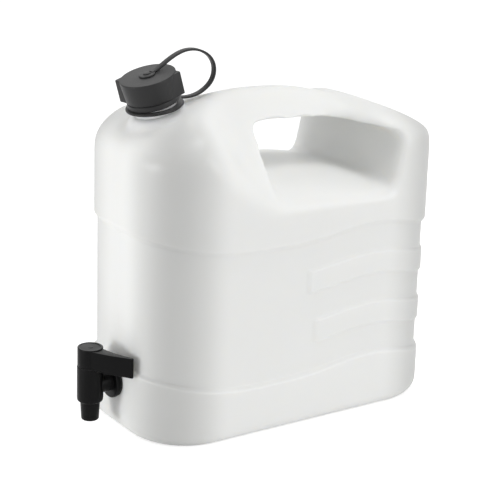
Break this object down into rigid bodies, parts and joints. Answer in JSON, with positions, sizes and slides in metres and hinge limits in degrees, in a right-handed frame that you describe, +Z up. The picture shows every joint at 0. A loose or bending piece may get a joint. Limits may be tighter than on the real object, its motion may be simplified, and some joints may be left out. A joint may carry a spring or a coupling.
{
  "type": "water jerrycan",
  "caption": "Translucent water jerrycan with a through-moulded carry grip, a tilted neck with a tethered screw cap, and a turn tap low on one end.",
  "frame": {"origin": "on the ground, under the middle of the whole object's length and width", "axes": "+Z up; +X from the tap's end to the rear; +Y across, to the left of someone who looks along +X"},
  "size_m": [0.3352, 0.158, 0.3295],
  "materials": {
    "milky_hdpe": "translucent natural HDPE, satin, blow-moulded",
    "black_pe": "satin injection-moulded",
    "seal_rubber": "matt"
  },
  "bodies": {
    "can": {"container": "milky_hdpe", "tether": "black_pe", "tap_body": "black_pe", "tap_seal": "seal_rubber"},
    "cap_rise": {"cap_seal": "seal_rubber"},
    "cap": {"cap": "black_pe"},
    "tap_lever": {"tap_lever": "black_pe", "plug_ring": "seal_rubber"}
  },
  "joints": [
    {"name": "cap_lift", "type": "slide", "parent": "can", "child": "cap_rise", "axis": [-0.2756, 0, 0.9613], "range_m": [0, 0.006], "deforming": ["tether"]},
    {"name": "cap_turn", "type": "hinge", "parent": "cap_rise", "child": "cap", "pos_m": [-0.09255, 0, 0.271], "axis": [-0.2756, 0, 0.9613], "range_deg": [0, 540]},
    {"name": "tap_turn", "type": "hinge", "parent": "can", "child": "tap_lever", "pos_m": [-0.15635, 0, 0.046], "axis": [0, 0, -1], "range_deg": [0, 90]}
  ],
  "couplings": [
    {"joint": "cap_lift", "follows": "cap_turn", "m_per_rad": 0.00063662}
  ]
}
